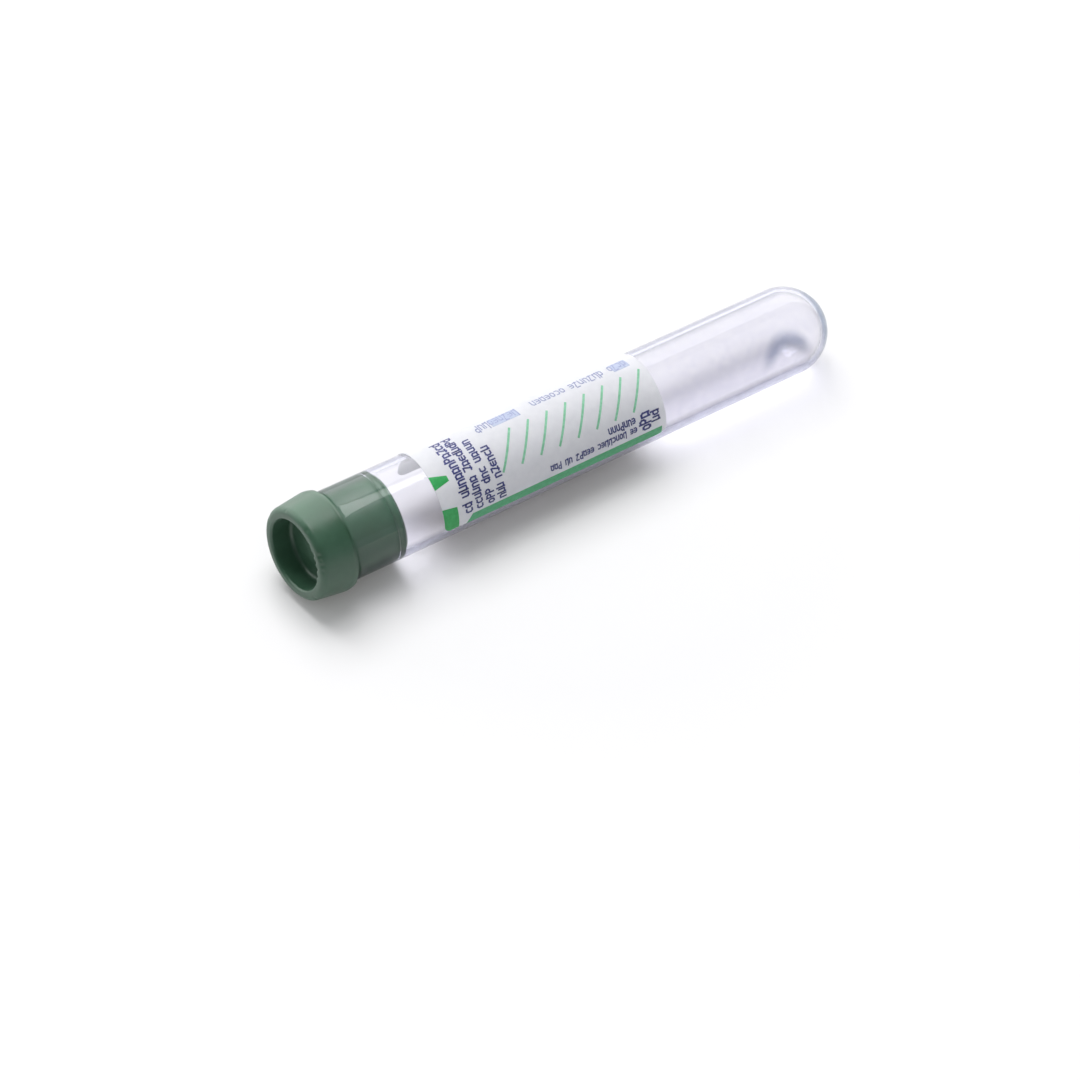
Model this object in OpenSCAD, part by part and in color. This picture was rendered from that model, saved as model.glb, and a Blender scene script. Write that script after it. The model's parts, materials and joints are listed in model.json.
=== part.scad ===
// Blood collection tube: a round-bottomed glass tube with a moulded rubber stopper, a paper
// label wrapped round the glass, two colours of print and a dried film of additive inside.
// Millimetres. The tube lies on the plane z = 0 as it comes to rest, on the widest ring of
// the stopper and on its round bottom, with the stopper at low X. The origin is on that
// plane, under the middle of the whole object.
// Heights run along the tube from the lip of the glass to the round bottom. Clock angles run
// round it, from 0 at the top of the lying tube to 90 at its -Y side.

/* [Glass tube] */
// Length of the glass, from the lip to the end of the round bottom
glass_length = 100; // [90:1:125]
// Outside diameter of the glass
glass_d = 16; // [15.6:0.1:16.4]
// Thickness of the glass wall
glass_wall = 1.0; // [0.8:0.05:1.2]
// How much thicker than the wall the middle of the round bottom is
bottom_extra = 0.5; // [0:0.1:0.8]

/* [Stopper head] */
// Length of the head, which stays outside the glass
head_length = 8.4; // [8.2:0.05:9.2]
// Diameter of the head at its widest ring
head_d = 17.8; // [17.4:0.1:18.4]
// Diameter that the tapered side would have at the top face
head_top_d = 16.4; // [16.2:0.1:16.8]
// Distance from the top face to the widest ring
head_ring_depth = 6.1; // [5.9:0.05:6.3]
// Radius that rounds the widest ring in towards the glass
head_ring_round = 3; // [2.6:0.1:3.2]
// Radius on the outer edge of the top face
head_top_round = 1.1; // [0.8:0.1:1.1]
// How far the head leans over, as it was pressed in; 0 is a straight one
head_lean = 9.5; // [0:0.5:10]
// Clock angle that it leans towards
lean_clock = 39; // [0:1:90]
// Height of the narrow foot that shows between the head and the glass
foot_height = 0.9; // [0.3:0.1:1]
// Diameter of that foot
foot_d = 15.8; // [15.6:0.1:16]

/* [Stopper recess] */
// Diameter of the recess in the top face, which guides the needle
recess_d = 12.6; // [10:0.1:12.6]
// Depth of the recess
recess_depth = 4.1; // [3.6:0.1:4.8]
// Radius on the mouth of the recess
recess_mouth_round = 0.5; // [0.3:0.05:0.5]
// Radius in the bottom corner of the recess
recess_corner_round = 0.8; // [0.4:0.1:1]

/* [Stopper plug] */
// Length of the plug inside the glass
plug_length = 9.7; // [9.5:0.1:12]
// Radial clearance of the plug in the glass
plug_clearance = 0.03; // [0.01:0.01:0.1]
// Length of the lead-in chamfer at the plug's end
plug_chamfer = 0.5; // [0.3:0.1:2]
// How much radius that chamfer takes off
plug_chamfer_in = 0.3; // [0.2:0.05:0.8]
// Gap between the head's underside and the lip of the glass
seat_gap = 0.05; // [0.02:0.01:0.1]
// Diameter of the hollow in the plug's end
hollow_d = 8; // [6:0.2:8.6]
// Depth of that hollow
hollow_depth = 8.2; // [6:0.2:8.4]
// Radius round the inner end of the hollow
hollow_end_round = 2.2; // [1:0.1:2.8]
// Radius on the mouth of the hollow
hollow_mouth_round = 0.5; // [0.2:0.1:0.8]

/* [Label] */
// Height of the label's edge nearest the stopper
label_from = 16.3; // [14:0.1:19]
// Length of the label along the tube
label_length = 44.8; // [44.5:0.1:46]
// Thickness of the label with its adhesive
label_thickness = 0.1; // [0.08:0.01:0.15]
// Clock angle of the label's front edge, where the clear window begins
label_front_edge = 101; // [96:1:106]
// How much of the way round the tube the label reaches
label_sweep = 200; // [180:1:300]
// Radius on the label's four corners
label_corner = 1.6; // [0.5:0.1:2]

/* [Green print] */
// Thickness of the printed ink
ink_thickness = 0.03; // [0.02:0.01:0.05]
// Height at which the long bar begins, at the label's front edge
bar_from = 20.6; // [20.2:0.1:21.2]
// Length of the long bar
bar_length = 39.6; // [38:0.1:39.7]
// Width of the long bar
bar_width = 1.8; // [1.2:0.1:2]
// How much shorter the slanted start makes the bar's other side
bar_slant = 1.2; // [0:0.1:2]
// Number of slanted fill lines
fill_lines = 8; // [4:1:8]
// Distance between fill lines along the tube
fill_pitch = 3.76; // [3.4:0.02:3.8]
// Height of the middle of the first fill line
fill_from = 31.2; // [30.8:0.1:31.6]
// Clock angle of the middle of the fill lines
fill_clock = 30.6; // [28:0.2:32]
// How far the fill lines reach round the tube
fill_sweep = 47.3; // [40:0.1:50]
// How far the fill lines run along the tube
fill_rise = 4.75; // [4:0.05:5]
// Width of a fill line
fill_width = 0.42; // [0.3:0.02:0.6]

/* [Dark print] */
// Clock angle at which the lines that run up and over the tube begin
line_starts = 85; // [80:1:86]
// Height at the middle of the first of those lines
first_line = 21; // [20.8:0.1:21.2]
// Distance between those lines
line_pitch = 2.2; // [2:0.05:2.3]
// Height of their letters
line_height = 1.4; // [1:0.1:1.5]
// Room for one of their letters
letter_width = 0.95; // [0.8:0.05:1]
// Gap between two of their words
word_gap = 0.9; // [0.6:0.1:1]

/* [Additive] */
// Height at which the dried film begins
film_from = 40; // [20:1:60]
// Thickness of the dried film
film_thickness = 0.04; // [0.03:0.01:0.06]

/* [Hidden] */
$fn = 96;

// Clock angle at which the round solids begin their turn, away from where the tube rests
seam_clock = 45;
// Letters in each word of the lines that run up and over the tube
round_lines = [[7, 8], [6, 3, 5], [4, 7], [4, 5]];

glass_r = glass_d / 2;
bore_r = glass_r - glass_wall;
lip_r = glass_wall / 2;
dome_height = glass_length - glass_r;
bore_dome_height = glass_length - glass_wall - bottom_extra - bore_r;

// The tapered side touches both rounds. The half angle comes from that condition.
head_r = head_d / 2;
head_top_r = head_top_d / 2;
flare = head_r - head_top_r;
ring_span = 2 * head_ring_round - flare;
taper = 2 * atan((head_ring_depth - sqrt(head_ring_depth^2 - ring_span * flare)) / ring_span);
ring_centre_r = head_r - head_ring_round;
ring_centre_height = head_ring_depth - head_length;
top_round_centre_r = head_top_r + head_top_round * (tan(taper) - 1 / cos(taper));
head_base_r = ring_centre_r + sqrt(head_ring_round^2 - ring_centre_height^2);
foot_r = foot_d / 2;

recess_r = recess_d / 2;
plug_r = bore_r - plug_clearance;
hollow_r = hollow_d / 2;

label_r = glass_r + label_thickness;
label_to = label_from + label_length;

// At rest the ring of the head and the round bottom both touch z = 0, which tilts the axis.
// The head's own axis rises by lean_up more than the tube's, so the sine of the tilt is
// found in a few steps.
lean_up = sin(head_lean) * cos(lean_clock);
function head_rise(sine) = sine * cos(head_lean) + sqrt(1 - sine^2) * lean_up;
function ring_drop(rise) = ring_centre_r * sqrt(1 - rise^2) + ring_centre_height * rise;
function tilt_sine(steps) = steps == 0 ? 0
  : (ring_drop(head_rise(tilt_sine(steps - 1))) + head_ring_round - glass_r)
    / (dome_height + seat_gap);
rest_tilt = asin(tilt_sine(6));
// Reach of the object to each side of the lip along X, which the origin is centred between
head_back = cos(rest_tilt) * cos(head_lean) - sin(rest_tilt) * lean_up;
reach_back = seat_gap * cos(rest_tilt) + (head_length - head_top_round) * head_back
  + top_round_centre_r * sqrt(1 - head_back^2) + head_top_round;
reach_ahead = dome_height * cos(rest_tilt) + glass_r;
lip_x = (reach_back - reach_ahead) / 2;
// The widest ring is centred across the origin
lip_y = -ring_centre_height * sin(head_lean) * sin(lean_clock);
lip_z = glass_r + dome_height * sin(rest_tilt);

// Turns the upright tube, lip at the origin and stopper below it, to its rest on z = 0
module lie_down() {
  translate([lip_x, lip_y, lip_z])
    rotate([0, 90 + rest_tilt, 0])
      children();
}

// Leans the head over about the middle of its seat on the glass
module leaned() {
  rotate([0, 0, 180 + lean_clock])
    rotate([0, -head_lean, 0])
      rotate([0, 0, -180 - lean_clock])
        children();
}

// Turns a section about the tube's axis
module turned() {
  rotate([0, 0, 180 + seam_clock])
    rotate_extrude()
      children();
}

// Upper right quarter of a disc
module quarter_disc(r) {
  intersection() {
    circle(r);
    square(r);
  }
}

// Section of the space inside the glass, or of that space shrunk by inset
module bore_section(inset = 0) {
  translate([0, -1])
    square([bore_r - inset, bore_dome_height + 1]);
  translate([0, bore_dome_height])
    quarter_disc(bore_r - inset);
}

// Section of the glass, with its round bottom and its fire-polished lip
module glass_section() {
  difference() {
    union() {
      translate([0, lip_r])
        square([glass_r, dome_height - lip_r]);
      translate([0, dome_height])
        quarter_disc(glass_r);
      translate([glass_r - lip_r, lip_r])
        circle(lip_r);
    }
    bore_section();
  }
}

module glass_tube() {
  color([0.88, 0.89, 0.95, 0.35])
    lie_down()
      turned()
        glass_section();
}

// Outside of the stopper's head: rounded top edge, tapered side and rounded widest ring
module head_section() {
  polygon([
    [0, -head_length],
    [top_round_centre_r, -head_length],
    [top_round_centre_r + head_top_round * cos(taper),
      -head_length + head_top_round * (1 - sin(taper))],
    [ring_centre_r + head_ring_round * cos(taper),
      ring_centre_height - head_ring_round * sin(taper)],
    [head_base_r, 0],
    [0, 0],
  ]);
  translate([top_round_centre_r, -head_length + head_top_round])
    circle(head_top_round);
  intersection() {
    translate([ring_centre_r, ring_centre_height])
      circle(head_ring_round);
    translate([0, -head_length])
      square([head_d, head_length]);
  }
}

// Outside of the plug with its lead-in chamfer, and of the foot that joins it to the head
module plug_section() {
  polygon([
    [0, -head_length / 4],
    [foot_r, -head_length / 4],
    [foot_r, 0],
    [plug_r, 0],
    [plug_r, plug_length - plug_chamfer],
    [plug_r - plug_chamfer_in, plug_length],
    [0, plug_length],
  ]);
}

// A blind round hole down from a face at y = 0, with rounds at its mouth and its end
module hole_section(r, depth, mouth_round, end_round) {
  difference() {
    translate([0, -1])
      square([r, depth + 1]);
    translate([r - end_round, depth - end_round])
      difference() {
        square(end_round + 1);
        circle(end_round);
      }
  }
  difference() {
    translate([0, -1])
      square([r + mouth_round, mouth_round + 1]);
    translate([r + mouth_round, mouth_round])
      circle(mouth_round);
  }
}

// The leaning head, cut level above its foot
module head() {
  intersection() {
    leaned()
      turned()
        head_section();
    translate([-head_d, -head_d, -2 * head_length])
      cube([2 * head_d, 2 * head_d, 2 * head_length - foot_height]);
  }
}

// Recess in the head's top face, which leans with it
module needle_recess() {
  leaned()
    turned()
      translate([0, -head_length])
        hole_section(recess_r, recess_depth, recess_mouth_round, recess_corner_round);
}

// Straight plug with the hollow in its end
module plug() {
  turned()
    difference() {
      plug_section();
      translate([0, plug_length])
        mirror([0, 1])
          hole_section(hollow_r, hollow_depth, hollow_mouth_round, hollow_end_round);
    }
}

// The whole rubber moulding: head, plug, needle recess and the hollow in the plug
module stopper() {
  color([0.30, 0.44, 0.35])
    lie_down()
      translate([0, 0, -seat_gap])
        difference() {
          union() {
            head();
            plug();
          }
          needle_recess();
        }
}

// Part of a thin sleeve round the tube, between two heights and two clock angles
module wrapped_band(r, thickness, height_from, height_to, clock_from, clock_to) {
  rotate([0, 0, 180 + clock_from])
    rotate_extrude(angle = clock_to - clock_from)
      translate([r, height_from])
        square([thickness, height_to - height_from]);
}

// What is cut off the label's four corners to round them, right through the tube's wall. The
// round meets the straight edges at a slight angle, so that no cut runs along an edge.
module corner_offcuts() {
  offcut = label_corner + 1;
  inset = label_corner * cos(15);
  for (edge = [[label_front_edge - label_sweep, -1], [label_front_edge, 1]])
    rotate([0, 0, 180 + edge[0]])
      rotate([90, 0, 90])
        linear_extrude(label_r + 1)
          for (end = [[label_from, -1], [label_to, 1]])
            translate([-edge[1] * inset, end[0] - end[1] * inset])
              difference() {
                translate([edge[1] * offcut / 2, end[1] * offcut / 2])
                  square(offcut, center = true);
                circle(label_corner);
              }
}

module label() {
  color([0.93, 0.93, 0.95])
    lie_down()
      difference() {
        wrapped_band(glass_r, label_thickness, label_from, label_to,
          label_front_edge - label_sweep, label_front_edge);
        corner_offcuts();
      }
}

// A band of ink on the label
module ink_band(height_from, height_to, clock_from, clock_to) {
  wrapped_band(label_r, ink_thickness, height_from, height_to, clock_from, clock_to);
}

// A flat outline, x round the tube and y along it, printed on the label about a clock angle
module ink_outline(clock, height_from, height_to) {
  half_turn = 60;
  intersection() {
    ink_band(height_from, height_to, clock - half_turn, clock + half_turn);
    rotate([0, 0, 180 + clock])
      rotate([90, 0, 90])
        linear_extrude(label_r + 1)
          children();
  }
}

// One slanted fill line, centred at a height
module fill_line(height) {
  run = 2 * label_r * sin(fill_sweep / 2);
  slant = atan2(fill_rise, run);
  ink_outline(fill_clock, height - fill_rise, height + fill_rise)
    translate([0, height])
      rotate(-slant)
        square([norm([run, fill_rise]), fill_width], center = true);
}

// The long bar that runs along the label's front edge, with a slanted start
module long_bar() {
  intersection() {
    ink_band(bar_from, bar_from + bar_length,
      label_front_edge - turn(bar_width), label_front_edge);
    rotate([0, 0, 180 + label_front_edge])
      rotate([90, 0, 90])
        linear_extrude(label_r + 1)
          polygon([
            [1, bar_from],
            [0, bar_from],
            [-bar_width, bar_from + bar_slant],
            [-bar_width - 1, bar_from + bar_slant],
            [-bar_width - 1, label_to],
            [1, label_to],
          ]);
  }
}

// A mark that stands on the label's upper edge. Its foot and its end are each a span round
// the tube from the clock angle.
module edge_mark(clock, foot, end, length) {
  ink_outline(clock, label_from, label_from + length)
    polygon([
      [foot[0], label_from],
      [foot[1], label_from],
      [end[1], label_from + length],
      [end[0], label_from + length],
    ]);
}

// Green print: the long bar, the slanted fill lines and the two marks at the upper edge
module green_print() {
  color([0.24, 0.62, 0.42])
    lie_down() {
      for (i = [0:fill_lines - 1])
        fill_line(fill_from + i * fill_pitch);
      edge_mark(clock = 32, foot = [-1.3, 1.2], end = [-0.35, 0.6], length = 3);
      difference() {
        union() {
          long_bar();
          edge_mark(clock = 82, foot = [-2.3, 2.6], end = [-1.8, 2.6], length = 2.8);
        }
        corner_offcuts();
      }
    }
}

// Length of the words before word n of a line, with the gaps after them
function words_before(words, n) = n == 0 ? 0
  : words_before(words, n - 1) + words[n - 1] * letter_width + word_gap;

// Clock angle taken up by a length round the label
function turn(length) = length / label_r * 180 / PI;

// A line of words that runs up and over the tube
module round_line(words, height) {
  for (n = [0:len(words) - 1]) {
    word_clock = line_starts - turn(words_before(words, n));
    ink_band(height - line_height / 2, height + line_height / 2,
      word_clock - turn(words[n] * letter_width), word_clock);
  }
}

// A line of words that runs along the tube, towards the stopper
module long_line(words, height, clock, letter, cap) {
  scale_down = letter / letter_width;
  for (n = [0:len(words) - 1]) {
    word_height = height - scale_down * words_before(words, n);
    ink_band(word_height - words[n] * letter, word_height,
      clock - turn(cap) / 2, clock + turn(cap) / 2);
  }
}

// Dark print. Each line of small print is a row of plain bars, one for each word.
module dark_print() {
  color([0.22, 0.22, 0.42])
    lie_down() {
      for (i = [0:len(round_lines) - 1])
        round_line(round_lines[i], first_line + i * line_pitch);
      long_line(words = [5, 4, 6, 3], height = 55.1, clock = 77.5, letter = 0.75, cap = 1.1);
      long_line(words = [7], height = 55.1, clock = 65, letter = 0.75, cap = 1.1);
      long_line(words = [4, 9, 6, 8], height = 59, clock = -12, letter = 0.9, cap = 1.2);
      ink_band(height_from = 55.8, height_to = 57.6, clock_from = 60, clock_to = 83);
      ink_band(height_from = 58.2, height_to = 59.8, clock_from = 63, clock_to = 77);
    }
}

module additive_film() {
  color([0.95, 0.95, 0.90, 0.5])
    lie_down()
      turned()
        intersection() {
          difference() {
            bore_section();
            bore_section(film_thickness);
          }
          translate([0, film_from])
            square([bore_r + 1, glass_length - film_from]);
        }
}

glass_tube();
stopper();
label();
green_print();
dark_print();
additive_film();
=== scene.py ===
# %% [markdown]
# # Blood collection tube
# A round-bottomed glass tube with a green rubber stopper, a printed paper label and a dried
# additive inside, lying on a table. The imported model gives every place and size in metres.
# The cells below make one piece or one finish after another and print what they made.

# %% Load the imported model
import json
import math

import bmesh
import bpy
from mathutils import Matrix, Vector


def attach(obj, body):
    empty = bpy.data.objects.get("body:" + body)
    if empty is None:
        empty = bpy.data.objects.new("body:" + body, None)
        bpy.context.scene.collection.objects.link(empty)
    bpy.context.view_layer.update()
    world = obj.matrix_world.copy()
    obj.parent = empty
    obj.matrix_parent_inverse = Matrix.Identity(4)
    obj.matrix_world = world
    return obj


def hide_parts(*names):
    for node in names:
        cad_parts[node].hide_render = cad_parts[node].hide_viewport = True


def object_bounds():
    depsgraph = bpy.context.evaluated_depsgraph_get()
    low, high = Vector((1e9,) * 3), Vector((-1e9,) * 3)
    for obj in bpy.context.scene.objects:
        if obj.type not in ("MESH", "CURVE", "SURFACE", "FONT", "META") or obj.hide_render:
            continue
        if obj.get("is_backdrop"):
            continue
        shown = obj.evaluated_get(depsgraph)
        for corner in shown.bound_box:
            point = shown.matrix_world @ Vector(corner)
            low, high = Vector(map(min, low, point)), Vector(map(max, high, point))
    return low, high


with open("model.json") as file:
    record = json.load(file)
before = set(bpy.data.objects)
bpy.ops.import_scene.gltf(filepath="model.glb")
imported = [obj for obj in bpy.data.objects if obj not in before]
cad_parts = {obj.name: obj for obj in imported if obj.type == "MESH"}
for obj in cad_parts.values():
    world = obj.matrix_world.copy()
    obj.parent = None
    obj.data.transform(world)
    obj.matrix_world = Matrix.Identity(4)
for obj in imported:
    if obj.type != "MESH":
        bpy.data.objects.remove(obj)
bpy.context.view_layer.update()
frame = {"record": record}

MM = 0.001

# %% [markdown]
# ## The tube's own directions
# Everything on the tube is round, so a place on it is easiest to say as a height along the
# axis, a clock angle round it and a distance from it. Heights start at the glass lip and grow
# towards the round bottom. Clock angles start at the top and turn towards the front. The
# record's mount on the straight wall of the glass gives the axis and the middle of that wall.

# %% Heights and clock angles
LIP_ROUND = 0.5 * MM
wall_mount = next(m for m in frame["record"]["mounts"] if m["name"] == "tube_body")
AXIS = Vector(wall_mount["axis"])
UP = Vector((-AXIS.z, 0, AXIS.x))
FRONT = Vector((0, -1, 0))
GLASS_R = wall_mount["dims"]["r_mm"] * MM
WALL_LENGTH = wall_mount["dims"]["length_mm"] * MM
LIP = Vector(wall_mount["pos_m"]) - AXIS * (WALL_LENGTH / 2 + LIP_ROUND)
BOTTOM_CENTRE = WALL_LENGTH + LIP_ROUND
TILT = math.atan2(-AXIS.z, AXIS.x)


def at(height, clock, radius):
    """The point at a height, a clock angle in degrees and a distance from the axis."""
    turn = math.radians(clock)
    return LIP + AXIS * height + (UP * math.cos(turn) + FRONT * math.sin(turn)) * radius


print(f"lip at {tuple(round(x / MM, 2) for x in LIP)} mm, tilt {math.degrees(TILT):.3f} degrees")

# %% [markdown]
# ## Camera
# A long lens about 0.44 m away looks down at the tube from beyond the stopper's end, so that
# the recess in the stopper and the printed side of the label both show.

# %% Camera
CAMERA_HEADING = math.radians(33.291)
CAMERA_PITCH = math.radians(46.857)
CAMERA_DISTANCE = 441.59 * MM
CAMERA_AIM = Vector((-20.341, -23.477, 14.294)) * MM
SENSOR = 36.0
LENS = 90.93

heading = Vector((math.sin(CAMERA_HEADING), math.cos(CAMERA_HEADING), 0))
look = heading * math.cos(CAMERA_PITCH) - Vector((0, 0, 1)) * math.sin(CAMERA_PITCH)
camera = bpy.data.objects.new("camera", bpy.data.cameras.new("camera"))
camera.data.sensor_width = SENSOR
camera.data.lens = LENS
camera.location = CAMERA_AIM - look * CAMERA_DISTANCE
camera.rotation_euler = look.to_track_quat("-Z", "Y").to_euler()
bpy.context.scene.collection.objects.link(camera)
bpy.context.scene.camera = camera
bpy.context.scene.view_settings.view_transform = "Standard"
print(f"camera {CAMERA_DISTANCE:.2f} m away, lens {LENS} mm")

# %% [markdown]
# ## Helpers for materials
# Colours are written as sRGB hex values, as a paint or print maker would give them, and one
# function turns them into the linear values that the shaders need. Another adds a node with
# its settings, its fixed values and its links. The short ones after it give the result of a
# node that is needed often, so each material reads as a list of steps.

# %% Colour and node helpers
def linear(hex_colour):
    """Linear RGBA of an sRGB colour such as '#3FA36B'."""
    channels = [int(hex_colour[k:k + 2], 16) / 255 for k in (1, 3, 5)]
    return [c / 12.92 if c <= 0.04045 else ((c + 0.055) / 1.055) ** 2.4 for c in channels] + [1]


def add(tree, kind, settings=(), values=(), links=()):
    """Adds a node, sets its properties and unlinked inputs, and links its other inputs."""
    node = tree.nodes.new(kind)
    for name, value in dict(settings).items():
        setattr(node, name, value)
    for socket, value in dict(values).items():
        node.inputs[socket].default_value = value
    for socket, source in dict(links).items():
        tree.links.new(source, node.inputs[socket])
    return node


def maths(tree, operation, *terms):
    """The result of a maths node. Each term is a number or another node's output."""
    numbers = {k: term for k, term in enumerate(terms) if isinstance(term, (int, float))}
    outputs = {k: term for k, term in enumerate(terms) if k not in numbers}
    return add(tree, "ShaderNodeMath", {"operation": operation}, numbers, outputs).outputs[0]


def mapped(tree, value, source, target=(0.0, 1.0), curve="LINEAR"):
    """A value carried from one range to another, and held at the ends."""
    return add(tree, "ShaderNodeMapRange", {"interpolation_type": curve}, {
        "From Min": source[0], "From Max": source[1], "To Min": target[0],
        "To Max": target[1]}, {"Value": value}).outputs[0]


def noise(tree, place, size, detail):
    """Soft noise with clouds of about a given size."""
    return add(tree, "ShaderNodeTexNoise", values={"Scale": 1 / size, "Detail": detail},
               links={"Vector": place}).outputs[0]


def bumps(tree, height, strength, depth):
    """A surface direction that small heights disturb."""
    return add(tree, "ShaderNodeBump", values={"Strength": strength, "Distance": depth},
               links={"Height": height}).outputs[0]


def ramp(tree, value, stops):
    """A colour ramp's result. A stop is a place from 0 to 1 and a colour, hex or linear."""
    node = add(tree, "ShaderNodeValToRGB", links={0: value})
    elements = node.color_ramp.elements
    while len(elements) > 1:
        elements.remove(elements[-1])
    for number, (place, colour) in enumerate(stops):
        element = elements[0] if number == 0 else elements.new(place)
        element.position = place
        element.color = linear(colour) if isinstance(colour, str) else colour
    return node.outputs[0]


def tinted(tree, colour, share, tint):
    """A colour with a share of a hex tint mixed in."""
    return add(tree, "ShaderNodeMix", {"data_type": "RGBA"}, {7: linear(tint)},
               {0: share, 6: colour}).outputs[2]


def new_material(name):
    """An empty node material, its tree, and the place on the piece that its textures use."""
    material = bpy.data.materials.new(name)
    material.use_nodes = True
    tree = material.node_tree
    tree.nodes.clear()
    return material, tree, add(tree, "ShaderNodeTexCoord").outputs["Object"]


# %% [markdown]
# ## Table
# The tube lies on a plain white table. What the camera sees of it is lifted to white by a
# little glow of its own, which lights nothing. The glow grows away from the tube, so that the
# shadows stay soft and grey and the far ends of the table stay white. It is a little warm,
# against the cool light of the room. Seen through the glass it is a little stronger, because a
# real tube gathers light on the table under it.

# %% Table
TABLE_SIZE = 3.0
TABLE_COLOUR = "#D5D4D5"
# Each pair is a distance in metres from under the tube's middle, and the glow's strength.
TABLE_GLOW = [(0.05, 0.08), (0.12, 0.20), (0.20, 0.29), (0.80, 0.80)]
GLOW_COLOUR = (1, 0.93, 0.88, 1)
GLASS_GLOW = 0.11

bpy.ops.mesh.primitive_plane_add(size=TABLE_SIZE)
table = bpy.context.object
table.name = "table"
table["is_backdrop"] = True

material, tree, place = new_material("white_laminate_table")
matt = add(tree, "ShaderNodeBsdfPrincipled", values={
    "Base Color": linear(TABLE_COLOUR), "Roughness": 0.6, "Specular IOR Level": 0.2})
path = add(tree, "ShaderNodeLightPath").outputs
seen = maths(tree, "MAXIMUM", path["Is Camera Ray"], path["Is Glossy Ray"])
seen = maths(tree, "MAXIMUM", seen, path["Is Transmission Ray"])
away = add(tree, "ShaderNodeVectorMath", {"operation": "LENGTH"}, links={0: place})
amount = ramp(tree, away.outputs["Value"],
              [(metres, (share, share, share, 1)) for metres, share in TABLE_GLOW])
gathered = maths(tree, "MULTIPLY", path["Is Transmission Ray"], GLASS_GLOW)
strength = maths(tree, "ADD", maths(tree, "MULTIPLY", seen, amount), gathered)
glow = add(tree, "ShaderNodeEmission", values={"Color": GLOW_COLOUR},
           links={"Strength": strength})
both = add(tree, "ShaderNodeAddShader", links={0: matt.outputs[0], 1: glow.outputs[0]})
add(tree, "ShaderNodeOutputMaterial", links={"Surface": both.outputs[0]})
table.data.materials.append(material)
print("table:", TABLE_SIZE, "m wide,", material.name)

# %% [markdown]
# ## Room
# A white backdrop stands behind the table. The room on the camera's side is dim, which is what
# gives glass and rubber their dark parts between the reflections of the lamp, the backdrop and
# the table. The world paints them by direction, as panels round the X axis. Beyond the stopper
# the reflections are dim all round, but the room's even light grows a little there. Seen
# straight or through the glass, the world is plain white.

# %% World
BACKDROP = (2.8, 2.8, 2.8, 1)
DIM_ROOM = (0.03, 0.04, 0.05, 1)
FRONT_CARD = (0.30, 0.36, 0.40, 1)
# A panel's edge is a share of a turn that starts below, then goes behind, over and in front.
ROOM_PANELS = [(0.20, FRONT_CARD), (0.25, BACKDROP), (0.432, BACKDROP), (0.442, DIM_ROOM),
               (0.697, DIM_ROOM), (0.707, FRONT_CARD)]
ROOM_COLOUR = (0.94, 0.98, 1, 1)
ROOM_LIGHT = 0.5
END_LIGHT = 0.75
# Along X the panels fade in over the first pair, and the even light grows over the second.
PANELS_BEGIN = (-0.9, -0.65)
TOWARDS_END = (0.2, -1.0)

world = bpy.data.worlds.new("studio")
bpy.context.scene.world = world
world.use_nodes = True
tree = world.node_tree
tree.nodes.clear()
direction = add(tree, "ShaderNodeTexCoord").outputs["Generated"]
parts = add(tree, "ShaderNodeSeparateXYZ", links={0: direction}).outputs
clock = maths(tree, "ARCTAN2", maths(tree, "MULTIPLY", parts["Y"], -1.0), parts["Z"])
panels = ramp(tree, mapped(tree, clock, (-math.pi, math.pi)), ROOM_PANELS)
panels = add(tree, "ShaderNodeMix", {"data_type": "RGBA"}, {6: DIM_ROOM},
             {0: mapped(tree, parts["X"], PANELS_BEGIN), 7: panels})
mirrored = add(tree, "ShaderNodeBackground", links={"Color": panels.outputs[2]})
to_end = mapped(tree, parts["X"], TOWARDS_END, (ROOM_LIGHT, END_LIGHT))
even = add(tree, "ShaderNodeBackground", values={"Color": ROOM_COLOUR},
           links={"Strength": to_end})
plain = add(tree, "ShaderNodeBackground", values={"Color": (1, 1, 1, 1), "Strength": 1.0})
path = add(tree, "ShaderNodeLightPath").outputs
white = maths(tree, "MAXIMUM", path["Is Camera Ray"], path["Is Transmission Ray"])
lit = add(tree, "ShaderNodeMixShader", links={
    0: path["Is Glossy Ray"], 1: even.outputs[0], 2: mirrored.outputs[0]})
mixed = add(tree, "ShaderNodeMixShader",
            links={0: white, 1: lit.outputs[0], 2: plain.outputs[0]})
add(tree, "ShaderNodeOutputWorld", links={"Surface": mixed.outputs[0]})
print("world:", world.name, "with", len(ROOM_PANELS), "panel edges")

# %% [markdown]
# ## Lamps
# A soft box hangs almost over the tube, a little behind. A second, broad lamp behind it fills
# the table with light and shows in no reflection.

# %% Lamps
SOFTBOX_SIZE = (300 * MM, 290 * MM)
SOFTBOX_PLACE = Vector((90, 85, 650)) * MM
SOFTBOX_WATTS = 1.55
FILL_SIZE = (450 * MM, 450 * MM)
FILL_PLACE = Vector((20, 400, 700)) * MM
FILL_WATTS = 4.4


def area_lamp(name, size, place, watts):
    """A flat lamp that faces the origin."""
    lamp = bpy.data.lights.new(name, "AREA")
    lamp.shape = "RECTANGLE"
    lamp.size, lamp.size_y = size
    lamp.energy = watts
    lamp_object = bpy.data.objects.new(name, lamp)
    lamp_object.location = place
    lamp_object.rotation_euler = place.to_track_quat("Z", "Y").to_euler()
    bpy.context.scene.collection.objects.link(lamp_object)
    return lamp_object


area_lamp("soft_box", SOFTBOX_SIZE, SOFTBOX_PLACE, SOFTBOX_WATTS)
fill_lamp = area_lamp("ceiling_fill", FILL_SIZE, FILL_PLACE, FILL_WATTS)
fill_lamp.visible_glossy = False
print(f"lamps: a soft box of {SOFTBOX_WATTS} W and a ceiling fill of {FILL_WATTS} W")

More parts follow.
